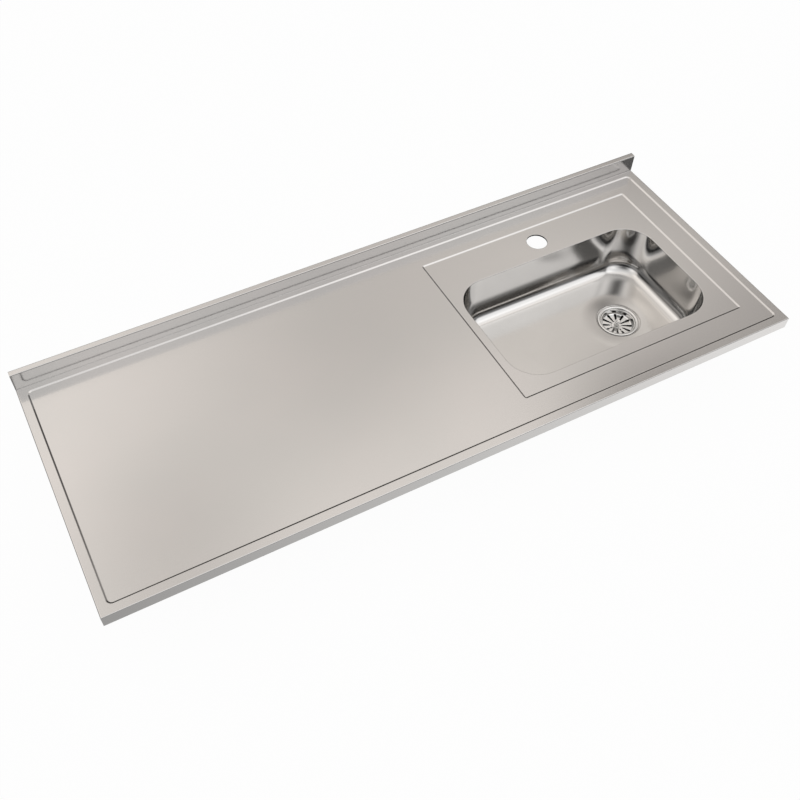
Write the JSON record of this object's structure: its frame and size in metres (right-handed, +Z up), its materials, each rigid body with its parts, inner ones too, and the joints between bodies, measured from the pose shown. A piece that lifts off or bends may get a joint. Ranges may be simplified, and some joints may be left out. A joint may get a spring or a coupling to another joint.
{
  "type": "sink top",
  "caption": "Sit-on stainless sink top with a low upstand, a sunken work field, a single bowl on the right, a tap hole and a basket strainer.",
  "frame": {"origin": "centre of the footprint, on the underside of the core board where it rests on the cabinet", "axes": "+X along the length towards the bowl end, +Y from the front edge to the wall, +Z up"},
  "size_m": [1.6, 0.6, 0.2288],
  "materials": {
    "sheet_steel": "satin",
    "bowl_steel": "polished",
    "strainer_steel": "polished",
    "chipboard": "matte",
    "softwood": "matte",
    "bitumen": "matte",
    "zinc": "zinc plated",
    "black_rubber": "matte",
    "fibre": "matte",
    "nylon": "moulded",
    "spring_steel": "bright"
  },
  "bodies": {
    "worktop": {"worktop_skin": "sheet_steel", "sink_bowl": "bowl_steel", "core_board": "chipboard", "front_batten": "softwood", "rear_batten": "softwood", "left_batten": "softwood", "right_batten": "softwood", "upstand_backing": "softwood", "tap_support_plate": "zinc", "sound_pads": "bitumen", "fixing_brackets": "zinc", "bracket_screws": "zinc", "strainer_body": "strainer_steel", "flange_seal": "black_rubber", "under_gasket": "black_rubber", "friction_washer": "fibre", "lock_nut": "nylon"},
    "basket": {"basket": "strainer_steel"},
    "stopper": {"pull_knob": "strainer_steel", "post_stem": "strainer_steel", "stopper_washer": "strainer_steel", "stopper_seal": "black_rubber", "post_clip": "spring_steel"}
  },
  "joints": [
    {"name": "basket_lift", "type": "slide", "parent": "worktop", "child": "basket", "axis": [0, 0, 1], "range_m": [0, 0.06]},
    {"name": "stopper_raise", "type": "slide", "parent": "basket", "child": "stopper", "axis": [0, 0, 1], "range_m": [0, 0.008]}
  ]
}
